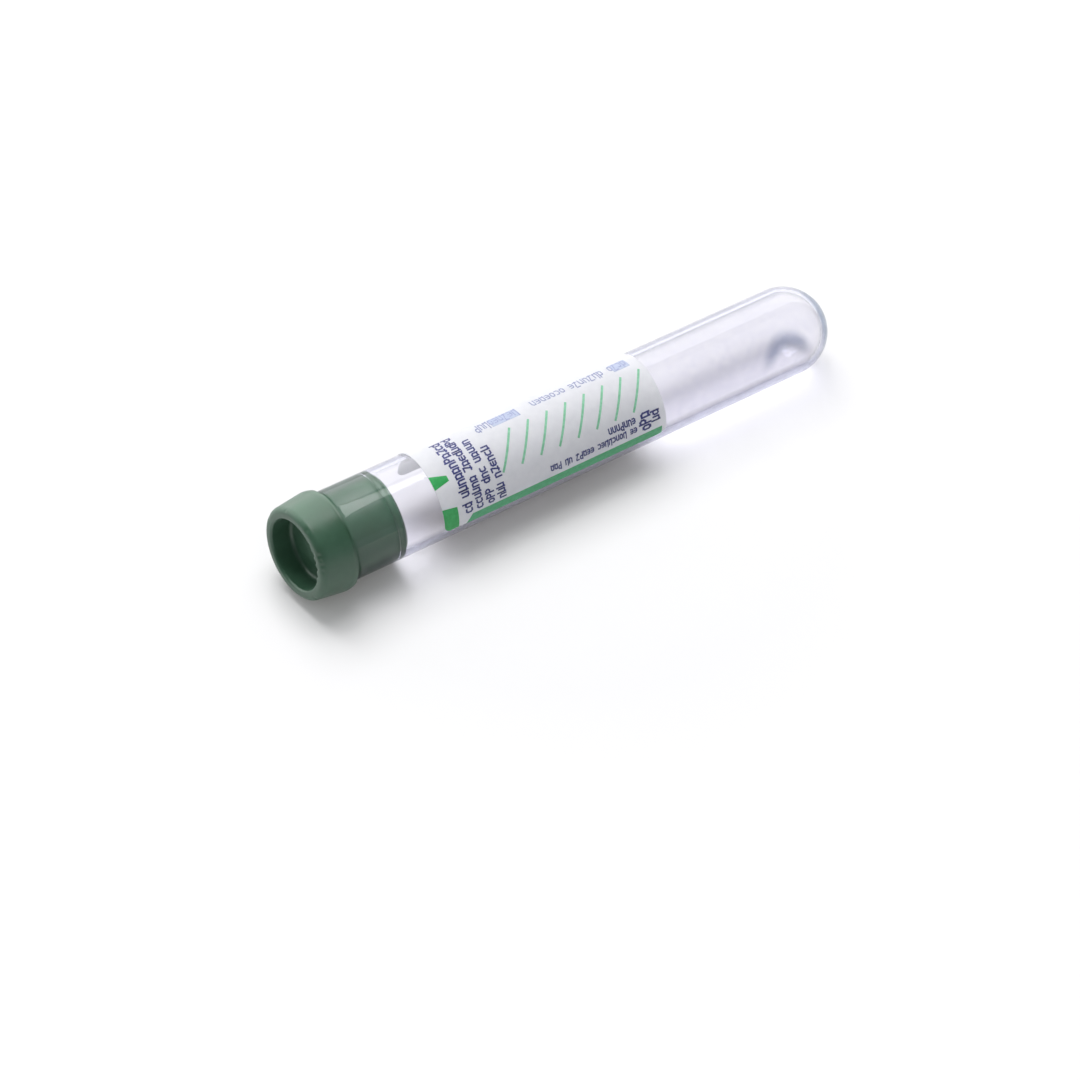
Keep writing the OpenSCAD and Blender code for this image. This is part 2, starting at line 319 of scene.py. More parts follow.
# %% [markdown]
# ## Turned solids
# The glass, the stopper and the film inside are round about the tube's axis. Each is made as
# a turner would: an outline from axis to axis is carried round in small steps. Rounds in the
# outline are arcs, so the surface catches light as one smooth bend.

# %% Lathe helpers
def on_round(centre, radius, degrees):
    """A point of a round in an outline. 0 points away from the axis, 90 up the height."""
    angle = math.radians(degrees)
    return centre[0] + radius * math.cos(angle), centre[1] + radius * math.sin(angle)


def arc(centre, radius, start, end, steps):
    """Points of a round in an outline, from one angle to another in even steps."""
    return [on_round(centre, radius, start + (end - start) * step / steps)
            for step in range(steps + 1)]


def straight(start, end, steps):
    """Points between two ends of a straight stretch, without the ends themselves."""
    return [tuple(a + (b - a) * step / steps for a, b in zip(start, end))
            for step in range(1, steps)]


def smooth_object(name, work, body, keep_sharp=40):
    """Makes a mesh object from bmesh work, smooth but for edges sharper than an angle."""
    mesh = bpy.data.meshes.new(name)
    bmesh.ops.recalc_face_normals(work, faces=work.faces)
    work.to_mesh(mesh)
    work.free()
    mesh.shade_smooth()
    mesh.set_sharp_from_angle(angle=math.radians(keep_sharp))
    piece = bpy.data.objects.new(name, mesh)
    bpy.context.scene.collection.objects.link(piece)
    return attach(piece, body)


def turn_columns(column, segments):
    """Closes a surface from columns of points, one for each clock angle, both ends shared."""
    work = bmesh.new()
    columns = [column(360 * k / segments) for k in range(segments)]
    first, last = (work.verts.new(columns[0][end]) for end in (0, -1))
    rows = [[first] + [work.verts.new(point) for point in points[1:-1]] + [last]
            for points in columns]
    for here, there in zip(rows, rows[1:] + rows[:1]):
        for k in range(len(here) - 1):
            corners = (here[k], here[k + 1], there[k + 1], there[k])
            work.faces.new(list(dict.fromkeys(corners)))
    return work


def turn_outline(outline, segments):
    """Carries an outline of (radius, height) points, from axis to axis, round the tube."""
    return turn_columns(lambda clock: [at(height, clock, radius) for radius, height in outline],
                        segments)


# %% [markdown]
# ## Glass tube
# The real tube is drawn soda-lime glass, closed at one end in a flame and melted round at the
# lip. The flame leaves a little more glass in the bottom, which is left out here, because it
# would only draw a ring inside the dome. The bore is made a hair tighter than the plug, because
# squeezed rubber wets the glass: the eye then sees the plug through the glass with no air
# between them, and the plug seems to fill the whole width. The points of the outside are
# marked, so that the finish can paint shade on the outer skin and leave the bore clear.

# %% Glass tube
WALL = 1.05 * MM
BORE_R = GLASS_R - WALL
WALL_MIDDLE_R = GLASS_R - WALL / 2
GLASS_SEGMENTS = 256

outline = arc((0, BOTTOM_CENTRE), GLASS_R, 90, 0, 40)[:-1]
outline[0] = (0, BOTTOM_CENTRE + GLASS_R)
outline += [(GLASS_R, BOTTOM_CENTRE)]
outline += straight((GLASS_R, BOTTOM_CENTRE), (GLASS_R, WALL / 2), 20)
outline += arc((WALL_MIDDLE_R, WALL / 2), WALL / 2, 0, -180, 16)
outline += straight((BORE_R, WALL / 2), (BORE_R, BOTTOM_CENTRE), 20)
outline += arc((0, BOTTOM_CENTRE), BORE_R, 0, 90, 40)[:-1]
outline += [(0, BOTTOM_CENTRE + BORE_R)]
glass = smooth_object("glass_shell", turn_outline(outline, GLASS_SEGMENTS), "tube")
skin = glass.data.attributes.new("outer_skin", "FLOAT", "POINT")
for vertex in glass.data.vertices:
    height = min(max((vertex.co - LIP).dot(AXIS), 0), BOTTOM_CENTRE)
    from_middle = (vertex.co - LIP - AXIS * height).length
    skin.data[vertex.index].value = float(from_middle > WALL_MIDDLE_R)
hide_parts("glass_tube")
print("glass:", len(glass.data.polygons), "faces")

# %% [markdown]
# ## Glass finish
# Drawn soda-lime glass is clear with a faint cool cast. Towards the outline the outer skin gets
# a painted shade, a darker cool tint that stands in for the dark surroundings that the glass's
# edge bends into view. Round the bottom the painted shade is darker still and draws a
# slate-blue crescent.
# Drawing leaves long shallow waves along the tube, which make the edges of reflections waver.
# Lamps shine straight through to the table and the label, because tracing the glass's caustics
# would only add grain. Light that meets the wall at a slant is turned aside, so less of it
# gets through there, and the tube's shadow has soft grey edges and a light middle.

# %% Glass material
GLASS_IOR = 1.52
GLASS_TINTS = [(0.3, "#F5F5F9"), (0.7, "#F2F2F7")]
HAZE_CLOUD = 6 * MM
WAVE_LENGTH = 40 * MM
WAVE_WIDTH = 3 * MM
# The painted shades grow with the slant of the look: 0 is square to the surface and 1 is along it.
OUTLINE_SHADE_TINT = "#9497AE"
OUTLINE_SHADE_SLANT = (0.40, 0.56)
BOTTOM_SHADE_TINT = "#54627A"
BOTTOM_SHADE_SLANT = (0.38, 0.58)
# The painted crescent of shade grows in along X between these two places, near the round bottom.
BOTTOM_SHADE_FROM = at(BOTTOM_CENTRE, 0, 0).x + 2.5 * MM
BOTTOM_SHADE_TO = at(BOTTOM_CENTRE, 0, 0).x + 4.8 * MM
SHADOW_TINTS = [(0.25, "#F5F5F7"), (0.75, "#BDBEC6")]

material, tree, place = new_material("drawn_soda_lime_glass")
along = add(tree, "ShaderNodeMapping", values={
    "Scale": (1 / WAVE_LENGTH, 1 / WAVE_WIDTH, 1 / WAVE_WIDTH)}, links={"Vector": place})
waves = noise(tree, along.outputs[0], 1.0, 1.0)
haze = noise(tree, place, HAZE_CLOUD, 3.0)
slant = add(tree, "ShaderNodeLayerWeight", values={"Blend": 0.5}).outputs["Facing"]
skin = add(tree, "ShaderNodeAttribute", {"attribute_name": "outer_skin"}).outputs["Fac"]
# Painted shade: the outer skin darkens towards the outline, and round the bottom into a slate-blue
# crescent.
edge = maths(tree, "MULTIPLY", mapped(tree, slant, OUTLINE_SHADE_SLANT), skin)
tint = tinted(tree, ramp(tree, haze, GLASS_TINTS), edge, OUTLINE_SHADE_TINT)
split = add(tree, "ShaderNodeSeparateXYZ", links={0: place})
bottom_shade_reach = mapped(tree, split.outputs["X"], (BOTTOM_SHADE_FROM, BOTTOM_SHADE_TO), curve="SMOOTHSTEP")
bottom_shade_slant = maths(tree, "MULTIPLY", mapped(tree, slant, BOTTOM_SHADE_SLANT), skin)
tint = tinted(tree, tint, maths(tree, "MULTIPLY", bottom_shade_reach, bottom_shade_slant), BOTTOM_SHADE_TINT)
body = add(tree, "ShaderNodeBsdfPrincipled", values={
    "IOR": GLASS_IOR, "Transmission Weight": 1.0, "Specular Tint": (0.5, 0.5, 0.5, 1)},
    links={"Base Color": tint, "Roughness": mapped(tree, haze, (0.45, 0.75), (0.0, 0.04)),
           "Normal": bumps(tree, waves, 0.25, 0.02 * MM)})
path = add(tree, "ShaderNodeLightPath")
through = add(tree, "ShaderNodeBsdfTransparent",
              links={"Color": ramp(tree, slant, SHADOW_TINTS)})
surface = add(tree, "ShaderNodeMixShader", links={
    0: path.outputs["Is Shadow Ray"], 1: body.outputs[0], 2: through.outputs[0]})
add(tree, "ShaderNodeOutputMaterial", links={"Surface": surface.outputs[0]})
glass.data.materials.append(material)
print("material:", material.name)

# %% [markdown]
# ## Stopper
# The stopper is one compression moulding in butyl rubber. Its head has a side that flares
# towards the glass, a rounded widest ring and a round lip about the needle recess. It was
# pressed in a little crooked: the head leans towards the front, while its foot and its plug
# sit true in the glass. The recess mount of the record gives the leaning axis. The plug has a
# fine groove near its end, where a thread of air is caught against the glass.

# %% Stopper outline
SEAT = -0.05 * MM
HEAD_TOP = SEAT - 8.4 * MM
HEAD_TOP_R = 8.2 * MM
TOP_ROUND = 1.1 * MM
RING_ROUND = 3.0 * MM
RING_R = 8.9 * MM
RING_DEPTH = 6.1 * MM
FOOT_R = 7.9 * MM
FOOT_TOP = SEAT - 0.9 * MM
RECESS_R = 6.3 * MM
RECESS_DEPTH = 4.1 * MM
MOUTH_ROUND = 0.5 * MM
CORNER_ROUND = 0.8 * MM
PLUG_R = 6.97 * MM
PLUG_END = SEAT + 9.7 * MM
CHAMFER = 0.5 * MM
CHAMFER_IN = 0.3 * MM
GROOVE_PLACE = 8.1 * MM
GROOVE_HALF = 0.12 * MM
GROOVE_DEPTH = 0.08 * MM
HOLLOW_R = 4.0 * MM
HOLLOW_DEPTH = 8.2 * MM
HOLLOW_END_ROUND = 2.2 * MM
HOLLOW_MOUTH_ROUND = 0.5 * MM
HAIR = 0.01 * MM
STOPPER_SEGMENTS = 300

recess_mount = next(m for m in frame["record"]["mounts"] if m["name"] == "needle_recess")
SEAT_MIDDLE = LIP + AXIS * SEAT
LEAN = (-AXIS).rotation_difference(Vector(recess_mount["axis"]))

# The tapered side touches the top round and the ring round, which sets its slant.
flare = RING_R - HEAD_TOP_R
ring_span = 2 * RING_ROUND - flare
taper = 2 * math.atan((RING_DEPTH - math.sqrt(RING_DEPTH**2 - ring_span * flare)) / ring_span)
taper_deg = math.degrees(taper)
top_centre = (HEAD_TOP_R + TOP_ROUND * (math.tan(taper) - 1 / math.cos(taper)),
              HEAD_TOP + TOP_ROUND)
ring_centre = (RING_R - RING_ROUND, HEAD_TOP + RING_DEPTH)
mouth_centre = (RECESS_R + MOUTH_ROUND, HEAD_TOP + MOUTH_ROUND)
recess_floor = HEAD_TOP + RECESS_DEPTH


def leaned(height, clock, radius):
    """A point of the head, which leans over about the middle of its seat."""
    return SEAT_MIDDLE + LEAN @ (at(height, clock, radius) - SEAT_MIDDLE)


def ring_end(clock):
    """How far the ring's round turns in before it meets the foot, to 0.01 degrees."""
    free, met = 0.0, 90.0
    while met - free > 0.01:
        angle = (free + met) / 2
        radius, height = on_round(ring_centre, RING_ROUND, angle)
        place = leaned(height, clock, radius) - LIP
        height = place.dot(AXIS)
        if height > FOOT_TOP or (place - AXIS * height).length < FOOT_R:
            met = angle
        else:
            free = angle
    return free


head_outline = [(0, recess_floor)]
head_outline += straight((0, recess_floor), (RECESS_R - CORNER_ROUND, recess_floor), 8)
head_outline += arc((RECESS_R - CORNER_ROUND, recess_floor - CORNER_ROUND),
                    CORNER_ROUND, 90, 0, 8)
head_outline += arc(mouth_centre, MOUTH_ROUND, 180, 270, 10)
head_outline += arc(top_centre, TOP_ROUND, -90, -taper_deg, 14)
side_end = on_round(ring_centre, RING_ROUND, -taper_deg)
head_outline += straight(head_outline[-1], side_end, 16)

plug_outline = [(FOOT_R, SEAT), (PLUG_R, SEAT)]
plug_outline += straight((PLUG_R, SEAT), (PLUG_R, GROOVE_PLACE - GROOVE_HALF), 10)
plug_outline += [(PLUG_R, GROOVE_PLACE - GROOVE_HALF), (PLUG_R - GROOVE_DEPTH, GROOVE_PLACE),
                 (PLUG_R, GROOVE_PLACE + GROOVE_HALF)]
plug_outline += [(PLUG_R, PLUG_END - CHAMFER), (PLUG_R - CHAMFER_IN, PLUG_END)]
plug_outline += arc((HOLLOW_R + HOLLOW_MOUTH_ROUND, PLUG_END - HOLLOW_MOUTH_ROUND),
                    HOLLOW_MOUTH_ROUND, 90, 180, 6)
plug_outline += arc((HOLLOW_R - HOLLOW_END_ROUND, PLUG_END - HOLLOW_DEPTH + HOLLOW_END_ROUND),
                    HOLLOW_END_ROUND, 0, -90, 10)
plug_outline += [(0, PLUG_END - HOLLOW_DEPTH)]


def stopper_column(clock):
    """The stopper's points at one clock angle, from the recess floor to the plug's hollow."""
    points = [leaned(height, clock, radius) for radius, height in head_outline]
    points += [leaned(height, clock, radius) for radius, height in
               arc(ring_centre, RING_ROUND, -taper_deg, ring_end(clock), 20)]
    foot_meets = (points[-1] - LIP).dot(AXIS) + HAIR
    points.append(at(foot_meets, clock, FOOT_R - HAIR))
    return points + [at(height, clock, radius) for radius, height in plug_outline]


work = turn_columns(stopper_column, STOPPER_SEGMENTS)
print(f"side flares at {taper_deg:.2f} degrees, head leans {math.degrees(LEAN.angle):.1f} degrees")

# %% [markdown]
# ## Nicks on the rim
# Moulded stoppers are torn out of a sheet and trimmed, so the rim carries small nicks. Each is
# a soft dent, at most two tenths of a millimetre deep. The front of the recess's mouth is
# ragged: dents and small tags of rubber follow one another there. A tag is a dent with its
# depth below zero.

# %% Nicks and the finished stopper
# Each nick is a clock angle, a width and a depth in millimetres.
NICKS = [(54, 0.9, 0.16), (60, 0.6, 0.12), (66, 1.0, 0.14), (74, 0.7, 0.1), (20, 0.6, 0.06),
         (128, 0.8, 0.1), (205, 0.7, 0.12), (290, 0.9, 0.1), (336, 0.6, 0.08)]
MOUTH_NICKS = [(36, 0.5, 0.12), (44, 0.45, -0.12), (51, 0.6, 0.2), (57, 0.4, -0.14),
               (62, 0.5, 0.18), (68, 0.45, -0.14), (74, 0.6, 0.2), (80, 0.4, -0.12),
               (86, 0.5, 0.16), (93, 0.45, -0.1), (100, 0.5, 0.12)]
# The two rows of nicks lie on the round of the head's top and on the round of the mouth.
NICK_PLACE = on_round(top_centre, TOP_ROUND, -50)
MOUTH_PLACE = on_round(mouth_centre, MOUTH_ROUND, 225)

bmesh.ops.recalc_face_normals(work, faces=work.faces)
work.normal_update()
dents = [(NICK_PLACE, nick) for nick in NICKS] + [(MOUTH_PLACE, nick) for nick in MOUTH_NICKS]
for (radius, height), (nick_clock, width, depth) in dents:
    centre = leaned(height, nick_clock, radius)
    spread = width * MM / 2
    for vertex in work.verts:
        distance = (vertex.co - centre).length
        if distance < 3 * spread:
            vertex.co -= vertex.normal * depth * MM * math.exp(-(distance / spread) ** 2)
stopper = smooth_object("rubber_stopper", work, "stopper", keep_sharp=60)
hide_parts("stopper")
print("stopper:", len(stopper.data.polygons), "faces,", len(dents), "nicks and tags")

# %% [markdown]
# ## Rubber finish
# Butyl rubber comes out of a satin steel mould with a fine even grain and a dull, broad shine.
# Its green pigment is a little uneven, and a faint pale bloom lies on it, which a little sheen
# gives.

# %% Rubber material
RUBBER_GREENS = [(0.3, "#2F4F3A"), (0.5, "#335440"), (0.7, "#385A45")]
BLOOM = "#DDEDE4"
GRAIN = 0.12 * MM
PIGMENT_CLOUD = 4 * MM

material, tree, place = new_material("moulded_butyl_rubber")
clouds = noise(tree, place, PIGMENT_CLOUD, 4.0)
grain = noise(tree, place, GRAIN, 2.0)
body = add(tree, "ShaderNodeBsdfPrincipled", values={
    "IOR": 1.5, "Specular IOR Level": 0.62, "Sheen Weight": 0.12, "Sheen Roughness": 0.4,
    "Sheen Tint": linear(BLOOM)}, links={
    "Base Color": ramp(tree, clouds, RUBBER_GREENS), "Normal": bumps(tree, grain, 0.3, 0.02 * MM),
    "Roughness": mapped(tree, clouds, (0.3, 0.7), (0.34, 0.44))})
add(tree, "ShaderNodeOutputMaterial", links={"Surface": body.outputs[0]})
stopper.data.materials.append(material)
print("material:", material.name)

# %% [markdown]
# ## Sheets on the tube
# The label and the ink on it are thin sheets that follow the glass. One function makes them
# all: it walks round the tube in columns, asks how low and how high the sheet reaches there,
# and closes a thin skin between an inner and an outer radius. Round corners and slanted ends
# are only a matter of those two answers.

# %% Wrapped sheets
def wrapped_sheet(work, clock_from, clock_to, reach, inner, outer, columns):
    """Adds a closed thin sheet to bmesh work. reach(clock) gives its lowest and highest height."""
    rows = []
    for clock_angle in columns(clock_from, clock_to):
        low, high = reach(clock_angle)
        rows.append([work.verts.new(at(height, clock_angle, radius))
                     for radius, height in ((inner, low), (inner, high),
                                            (outer, high), (outer, low))])
    for here, there in zip(rows, rows[1:]):
        for k in range(4):
            work.faces.new((here[k], here[(k + 1) % 4], there[(k + 1) % 4], there[k]))
    work.faces.new(rows[0])
    work.faces.new(rows[-1])


def even_columns(step):
    """Columns a fixed turn apart, in degrees."""
    def columns(start, end):
        count = max(1, math.ceil(abs(end - start) / step))
        return [start + (end - start) * k / count for k in range(count + 1)]
    return columns


# %% [markdown]
# ## Label
# The label is one sheet of coated paper, glued a little over half way round the tube with its
# corners rounded. The gap leaves a window to see the sample. Its glue wets the glass, so the
# sheet's inner face is sunk a hair into the glass: light inside the wall meets the paper
# directly.

# %% Label sheet
LABEL_FROM = 16.3 * MM
LABEL_TO = 61.1 * MM
LABEL_R = GLASS_R + 0.1 * MM
LABEL_EDGE = 101.0
LABEL_SWEEP = 200.0
LABEL_CORNER = 1.6 * MM
CORNER_STEPS = 12
GLUE_SINK = 0.02 * MM


def round_length(degrees):
    """Length round the label's face of a turn in degrees."""
    return math.radians(degrees) * LABEL_R


def corner_cut(clock_angle):
    """How far a rounded corner pulls the label's ends in at a clock angle."""
    to_edge = min(LABEL_EDGE - clock_angle, clock_angle - LABEL_EDGE + LABEL_SWEEP)
    inside = LABEL_CORNER - min(max(round_length(to_edge), 0), LABEL_CORNER)
    return LABEL_CORNER - math.sqrt(LABEL_CORNER**2 - inside**2)


def label_reach(clock_angle):
    """Where the label starts and ends at a clock angle."""
    return LABEL_FROM + corner_cut(clock_angle), LABEL_TO - corner_cut(clock_angle)


def label_columns(start, end):
    """Columns 1 degree apart, and closer where the corners bend."""
    corner = math.degrees(LABEL_CORNER / LABEL_R)
    bend = [corner * (1 - math.cos(math.radians(90 * k / CORNER_STEPS)))
            for k in range(CORNER_STEPS)]
    middle = even_columns(1)(start + corner, end - corner)
    return [start + b for b in bend] + middle + [end - b for b in reversed(bend)]


work = bmesh.new()
wrapped_sheet(work, LABEL_EDGE - LABEL_SWEEP, LABEL_EDGE, label_reach,
              GLASS_R - GLUE_SINK, LABEL_R, label_columns)
label = smooth_object("paper_label", work, "tube", keep_sharp=50)
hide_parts("label")
print("label:", len(label.data.polygons), "faces, corners of", LABEL_CORNER / MM, "mm")

# %% [markdown]
# ## Paper finish
# Coated label paper is a cool white with a semi-matt clay coat. Under the coat its fibres lie
# in faint clouds a millimetre or two across, and the coat has a very fine tooth. The sheet is
# thin enough to let some light through, so light is scattered inside it.

# %% Paper material
PAPER_WHITES = [(0.3, "#DCDBE3"), (0.7, "#E3E2E9")]
FIBRE_CLOUD = 1.5 * MM
TOOTH = 0.08 * MM
PAPER_SCATTER = 1.0 * MM

material, tree, place = new_material("coated_label_paper")
clouds = noise(tree, place, FIBRE_CLOUD, 5.0)
tooth = noise(tree, place, TOOTH, 2.0)
body = add(tree, "ShaderNodeBsdfPrincipled", values={
    "IOR": 1.5, "Specular IOR Level": 0.4, "Subsurface Weight": 0.7,
    "Subsurface Radius": (1, 1, 1), "Subsurface Scale": PAPER_SCATTER}, links={
    "Base Color": ramp(tree, clouds, PAPER_WHITES), "Normal": bumps(tree, tooth, 0.15, 0.01 * MM),
    "Roughness": mapped(tree, clouds, (0.3, 0.7), (0.5, 0.6))})
add(tree, "ShaderNodeOutputMaterial", links={"Surface": body.outputs[0]})
label.data.materials.append(material)
print("material:", material.name)

# %% [markdown]
# ## Printing inks
# Flexographic inks are on the paper: a green, the same green rubbed a little pale by handling,
# the green let down to a pale tint for thin lines, and a dark blue. A paler grey-blue ink is
# stamped on after the wrapping. Such inks lie a little unevenly, so each varies softly in
# depth, and they dry almost as matt as the paper.

# %% Ink materials
INK_CLOUD = 0.6 * MM


def printing_ink(name, thin, full):
    """A flexographic ink that varies between a thin and a full lay-down."""
    material, tree, place = new_material(name)
    clouds = noise(tree, place, INK_CLOUD, 3.0)
    body = add(tree, "ShaderNodeBsdfPrincipled", values={"IOR": 1.5, "Specular IOR Level": 0.4},
               links={"Base Color": ramp(tree, clouds, [(0.35, thin), (0.6, full)]),
                      "Roughness": mapped(tree, clouds, (0.3, 0.7), (0.55, 0.45))})
    add(tree, "ShaderNodeOutputMaterial", links={"Surface": body.outputs[0]})
    return material


green_ink = printing_ink("green_flexo_ink", "#3CA25C", "#2E964E")
worn_ink = printing_ink("rubbed_green_flexo_ink", "#58A57A", "#4A9A6C")
pale_ink = printing_ink("pale_green_flexo_ink", "#86BEA0", "#72AE8C")
blue_ink = printing_ink("dark_blue_flexo_ink", "#474B80", "#36396C")
stamp_ink = printing_ink("grey_blue_stamping_ink", "#999EBB", "#8288AB")
box_ink = printing_ink("pale_screened_stamping_ink", "#ADB4C8", "#A3ABC2")
INKS = (green_ink, worn_ink, pale_ink, blue_ink, stamp_ink, box_ink)
print("inks:", ", ".join(ink.name for ink in INKS))

# %% [markdown]
# ## Green bar and marks
# A long green bar runs along the label's front edge, where hands rub it, with a slanted start
# and the label's own rounded corner at its end. Two marks stand on the label's upper edge,
# where the stopper's end of the tube is.

# %% Green bar and marks
INK_R = LABEL_R + 0.02 * MM
INK_SINK = 0.01 * MM
BAR_FROM = 20.6 * MM
BAR_TO = 60.2 * MM
BAR_WIDTH = 1.8 * MM
BAR_SLANT = 1.2 * MM
# Each mark is a clock angle, then in mm the sides of its foot and of its end, and its length.
MARKS = [(32, (-1.3, 1.2), (-0.35, 0.6), 3.0), (82, (-2.3, 2.6), (-1.8, 2.6), 2.8)]
LEAST_LENGTH = 0.01 * MM


def bar_reach(clock_angle):
    """Where the bar starts and ends at a clock angle."""
    into_bar = round_length(LABEL_EDGE - clock_angle) / BAR_WIDTH
    start = BAR_FROM + BAR_SLANT * into_bar
    return start, min(BAR_TO, LABEL_TO - corner_cut(clock_angle))


def mark_reach(mark_clock, foot, end, length):
    """The reach of a mark that narrows from its foot to its end, as a function."""
    def reach(clock_angle):
        across = round_length(clock_angle - mark_clock) / MM
        share = 1.0
        if across < end[0]:
            share = (across - foot[0]) / (end[0] - foot[0])
        elif across > end[1] and foot[1] > end[1]:
            share = (foot[1] - across) / (foot[1] - end[1])
        low = LABEL_FROM + corner_cut(clock_angle)
        return low, max(LABEL_FROM + length * MM * share, low + LEAST_LENGTH)
    return reach


def green_piece(name, work, ink):
    """Finishes a piece of the green print."""
    piece = smooth_object(name, work, "tube")
    piece.data.materials.append(ink)
    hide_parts("green_print")
    print(name, "has", len(piece.data.polygons), "faces")


work = bmesh.new()
bar_turn = math.degrees(BAR_WIDTH / LABEL_R)
wrapped_sheet(work, LABEL_EDGE - bar_turn, LABEL_EDGE, bar_reach,
              LABEL_R - INK_SINK, INK_R, even_columns(0.5))
green_piece("green_bar", work, worn_ink)

work = bmesh.new()
for mark_clock, foot, end, length in MARKS:
    clocks = [mark_clock + math.degrees(x * MM / LABEL_R) for x in foot]
    wrapped_sheet(work, clocks[0], clocks[1], mark_reach(mark_clock, foot, end, length),
                  LABEL_R - INK_SINK, INK_R, even_columns(0.25))
green_piece("green_edge_marks", work, green_ink)

# %% [markdown]
# ## Wrapping flat print with Geometry Nodes
# Rows of small print and fill lines repeat, so Geometry Nodes lay them out. They are built
# flat, with x round the label, y along it and z out of the paper. A last group of nodes wraps
# the flat print round the tube: x becomes a turn, y a height and z a distance from the axis.

# %% Group that wraps flat print
def print_tree(name, inputs):
    """A new tree of nodes for print, its inputs as the nodes see them, and their identifiers."""
    tree = bpy.data.node_groups.new(name, "GeometryNodeTree")
    tree.interface.new_socket("Print", in_out="OUTPUT", socket_type="NodeSocketGeometry")
    identifiers = {}
    for title, kind in inputs.items():
        socket = tree.interface.new_socket(title, in_out="INPUT", socket_type="NodeSocket" + kind)
        identifiers[title] = socket.identifier
    return tree, add(tree, "NodeGroupInput").outputs, identifiers


def wrap_and_ink(tree, flat_print, ink):
    """Ends a tree of flat print: wraps it round the label and gives it its ink."""
    wrapped = add(tree, "GeometryNodeGroup", {"node_tree": wrap}, {
        "Paper radius": LABEL_R, "Lip": LIP, "Tilt": (0, TILT, 0)}, {0: flat_print})
    inked = add(tree, "GeometryNodeSetMaterial",
                links={"Geometry": wrapped.outputs[0], "Material": ink})
    add(tree, "NodeGroupOutput", links={0: inked.outputs[0]})


wrap, given, _ = print_tree("wrap_round_tube", {
    "Flat print": "Geometry", "Paper radius": "Float", "Lip": "Vector", "Tilt": "Vector"})
position = add(wrap, "GeometryNodeInputPosition")
flat = add(wrap, "ShaderNodeSeparateXYZ", links={0: position.outputs[0]}).outputs
turn = maths(wrap, "DIVIDE", flat["X"], given["Paper radius"])
radius = maths(wrap, "ADD", flat["Z"], given["Paper radius"])
forward = maths(wrap, "MULTIPLY", maths(wrap, "SINE", turn), radius)
upward = maths(wrap, "MULTIPLY", maths(wrap, "COSINE", turn), radius)
bent = add(wrap, "ShaderNodeCombineXYZ", links={
    "X": flat["Y"], "Y": maths(wrap, "MULTIPLY", forward, -1.0), "Z": upward})
moved = add(wrap, "GeometryNodeSetPosition",
            links={"Geometry": given["Flat print"], "Position": bent.outputs[0]})
laid = add(wrap, "GeometryNodeTransform", links={
    "Geometry": moved.outputs[0], "Translation": given["Lip"], "Rotation": given["Tilt"]})
add(wrap, "NodeGroupOutput", links={0: laid.outputs[0]})
print("group:", wrap.name)

# %% [markdown]
# ## Fill lines
# Eight slanted green lines ask for a full draw. Each is a thin strip of ink, straight on the
# flat label, repeated at an even pitch. The strip has many short lengths, so that it bends
# with the tube when it is wrapped.

# %% Fill lines
FILL_LINES = 8
FILL_PITCH = 3.76 * MM
FILL_FROM = 31.2 * MM
FILL_CLOCK = 30.6
FILL_SWEEP = 47.3
FILL_RISE = 4.75 * MM
FILL_WIDTH = 0.4 * MM
INK_HEIGHT = 0.03 * MM
STRIP_POINTS = 49


def printed(name, tree, settings, base, material):
    """Runs a node tree on a base mesh and keeps the result as a plain mesh on the tube."""
    maker = bpy.data.objects.new(name + "_maker", base)
    bpy.context.scene.collection.objects.link(maker)
    modifier = maker.modifiers.new("print", "NODES")
    modifier.node_group = tree
    for identifier, value in settings.items():
        modifier[identifier] = value
    depsgraph = bpy.context.evaluated_depsgraph_get()
    mesh = bpy.data.meshes.new_from_object(maker.evaluated_get(depsgraph))
    bpy.data.objects.remove(maker)
    mesh.name = name
    mesh.materials.clear()
    mesh.materials.append(material)
    piece = bpy.data.objects.new(name, mesh)
    bpy.context.scene.collection.objects.link(piece)
    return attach(piece, "tube")


tree, given, inputs = print_tree("fill_lines", {
    "Base": "Geometry", "Lines": "Int", "Middle of first line": "Vector", "Pitch": "Vector",
    "Strip size": "Vector", "Slant": "Vector", "Ink": "Material"})
middles = add(tree, "GeometryNodeMeshLine", links={
    "Count": given["Lines"], "Start Location": given["Middle of first line"],
    "Offset": given["Pitch"]})
strip = add(tree, "GeometryNodeMeshCube", values={"Vertices X": STRIP_POINTS},
            links={"Size": given["Strip size"]})
lines = add(tree, "GeometryNodeInstanceOnPoints", links={
    "Points": middles.outputs[0], "Instance": strip.outputs[0], "Rotation": given["Slant"]})
real = add(tree, "GeometryNodeRealizeInstances", links={0: lines.outputs[0]})
wrap_and_ink(tree, real.outputs[0], given["Ink"])

run = round_length(FILL_SWEEP)
fill = printed("green_fill_lines", tree, {
    inputs["Lines"]: FILL_LINES,
    inputs["Middle of first line"]: (round_length(FILL_CLOCK), FILL_FROM,
                                     INK_HEIGHT / 2 - INK_SINK),
    inputs["Pitch"]: (0, FILL_PITCH, 0),
    inputs["Strip size"]: (math.hypot(run, FILL_RISE), FILL_WIDTH, INK_HEIGHT),
    inputs["Slant"]: (0, 0, -math.atan2(FILL_RISE, run)),
    inputs["Ink"]: pale_ink,
}, bpy.data.meshes.new("empty_base"), pale_ink)
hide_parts("green_print")
print("fill lines:", FILL_LINES, "with", len(fill.data.polygons), "faces")

# %% [markdown]
# ## Small print
# The label's small print is made of plain marks, not letters: strokes with a bend or two, such
# as rings, arches, cups and stems, each mark as big as a letter. Words and lines are laid out
# in a loop, as a typesetter would, and the nodes pick a mark for each place with a fixed seed.

